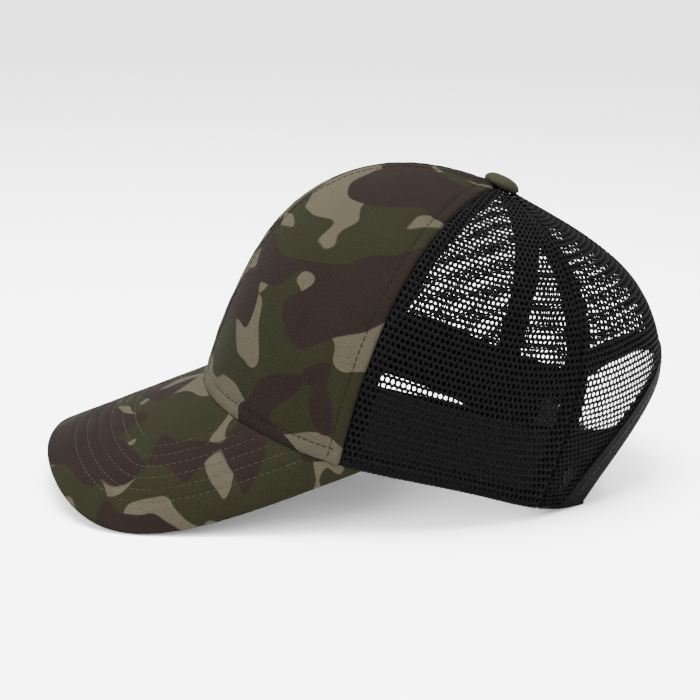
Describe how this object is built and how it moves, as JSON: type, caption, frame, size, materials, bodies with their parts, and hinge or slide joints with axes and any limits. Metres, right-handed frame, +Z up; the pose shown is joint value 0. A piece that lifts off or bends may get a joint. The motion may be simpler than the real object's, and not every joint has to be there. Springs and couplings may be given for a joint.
{
  "type": "trucker mesh cap",
  "caption": "Soft cap with a stiff front, open net sides and back, a curved brim, a covered top button and a snap closure across a half-moon rear opening.",
  "frame": {"origin": "on the floor, under the middle of the resting cap", "axes": "-Y is the way the brim points, +X is the wearer's left, +Z is up; the cap rests on its brim's sides and its rear edge"},
  "size_m": [0.1606, 0.2824, 0.1437],
  "materials": {
    "camo_cloth": null,
    "mesh_cloth": "black knitted polyester net",
    "seam_tape": "black woven tape",
    "backing_cloth": "stiffened buckram",
    "band_cloth": "black cotton twill",
    "foam": "thin black foam",
    "brim_core": "moulded polyethylene board",
    "button_cloth": "olive cotton twill",
    "button_metal": "pressed and drawn",
    "strap_plastic": "black moulded polyethylene, satin"
  },
  "bodies": {
    "crown": {"arch_binding": "seam_tape", "back_center_tape": "seam_tape", "back_mesh_left": "mesh_cloth", "back_mesh_right": "mesh_cloth", "brim_board": "brim_core", "brim_top_cover": "camo_cloth", "brim_under_cover": "camo_cloth", "button_cover": "button_cloth", "button_rivet": "button_metal", "button_shell": "button_metal", "button_washer": "button_metal", "front_backing_left": "backing_cloth", "front_backing_right": "backing_cloth", "front_center_tape": "seam_tape", "front_panel_left": "camo_cloth", "front_panel_right": "camo_cloth", "front_side_tape_left": "seam_tape", "front_side_tape_right": "seam_tape", "side_back_tape_left": "seam_tape", "side_back_tape_right": "seam_tape", "side_mesh_left": "mesh_cloth", "side_mesh_right": "mesh_cloth", "strap_tab_left": "strap_plastic", "strap_tab_right": "strap_plastic", "sweatband": "band_cloth", "sweatband_padding": "foam"},
    "hole_strap": {"hole_strap": "strap_plastic"},
    "peg_strap": {"peg_strap": "strap_plastic"}
  },
  "joints": [
    {"name": "hole_strap_swing", "type": "hinge", "parent": "crown", "child": "hole_strap", "pos_m": [0.04597, 0.09868, 0.01137], "axis": [0, -0.2304, -0.9731], "range_deg": [0, 40]},
    {"name": "peg_strap_swing", "type": "hinge", "parent": "crown", "child": "peg_strap", "pos_m": [-0.04503, 0.09766, 0.01161], "axis": [0, -0.2304, -0.9731], "range_deg": [0, 25]}
  ]
}
